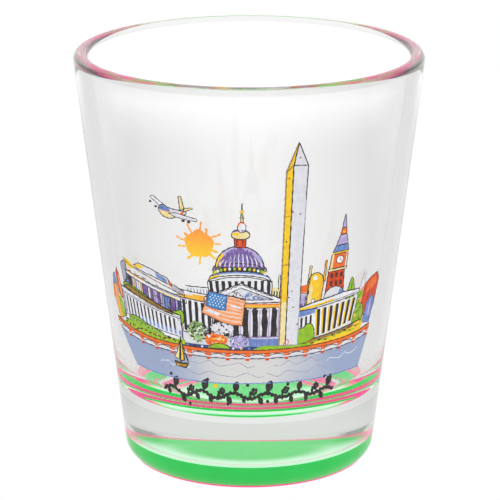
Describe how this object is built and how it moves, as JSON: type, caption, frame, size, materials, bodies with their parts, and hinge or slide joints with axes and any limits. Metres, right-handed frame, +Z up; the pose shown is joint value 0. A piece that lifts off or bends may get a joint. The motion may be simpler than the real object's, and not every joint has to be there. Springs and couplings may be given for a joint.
{
  "type": "shot glass",
  "caption": "Souvenir shot glass: a tapered clear glass with a thick foot, a green and pink painted base and a wrapped city skyline print on its front.",
  "frame": {"origin": "centre of the underside, at the plane that the foot rests on", "axes": "+Z up along the glass's axis towards the open rim; -Y towards the front, where the print is; +X to the right as seen from the front"},
  "size_m": [0.0498, 0.0498, 0.0601],
  "materials": {
    "clear_glass": "clear, fire-polished",
    "green_paint": "glossy fluorescent green paint in the recess under the foot",
    "pink_paint": "glossy fluorescent pink paint on the bearing ring and the heel",
    "ink_pale": "fired-on screen-print ink, satin",
    "ink_yellow": "fired-on screen-print ink, satin",
    "ink_orange": "fired-on screen-print ink, satin",
    "ink_green": "fired-on screen-print ink, satin",
    "ink_violet": "fired-on screen-print ink, satin",
    "ink_river": "fired-on screen-print ink, satin",
    "ink_black": "fired-on screen-print ink, satin"
  },
  "bodies": {
    "root": {"glass_body": "clear_glass", "base_green_coat": "green_paint", "base_pink_ring": "pink_paint", "sailing_boat": "ink_yellow", "striped_flag": "ink_orange", "obelisk": "ink_pale", "shore_bushes": "ink_green", "arcade_bridge": "ink_orange", "columned_temple": "ink_pale", "domed_hall": "ink_pale", "clock_tower": "ink_orange", "castle_tower": "ink_yellow", "tree_row": "ink_green", "long_colonnade": "ink_pale", "left_gallery": "ink_violet", "left_towers": "ink_orange", "right_towers": "ink_orange", "river_panel": "ink_river", "sun": "ink_yellow", "airplane": "ink_pale", "caption_flourish": "ink_black"}
  },
  "joints": []
}
